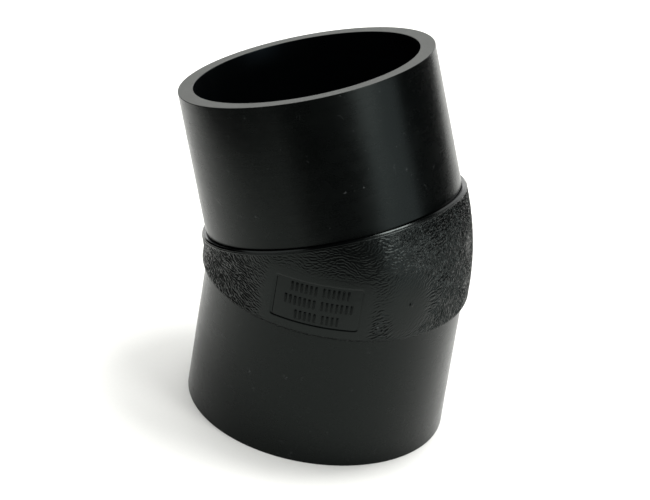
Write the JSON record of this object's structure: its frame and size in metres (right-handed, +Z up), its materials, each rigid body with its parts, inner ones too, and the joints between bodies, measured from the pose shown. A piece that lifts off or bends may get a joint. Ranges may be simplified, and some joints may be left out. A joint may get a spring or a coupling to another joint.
{
  "type": "pipe elbow",
  "caption": "Black polyethylene 22.5 degree spigot elbow with two plain pipe ends and a raised grained band around the bend, for butt fusion.",
  "frame": {"origin": "centre of the lower end face, on the lower bore's axis", "axes": "+Z up the lower spigot's axis into the fitting; the bend lies in the XZ plane and the upper spigot leans towards -X"},
  "size_m": [0.2001, 0.166, 0.2478],
  "materials": {
    "turned_plastic": "satin, with fine turning lines",
    "bore_plastic": "satin, as moulded",
    "grained_plastic": "leather-like moulded grain",
    "panel_plastic": "smooth satin, as moulded"
  },
  "bodies": {
    "root": {"lower_spigot": "turned_plastic", "upper_spigot": "turned_plastic", "bend_core": "bore_plastic", "grained_band": "grained_plastic", "marking_plaque": "panel_plastic", "marking_bars": "panel_plastic", "gate_mark": "panel_plastic"}
  },
  "joints": []
}
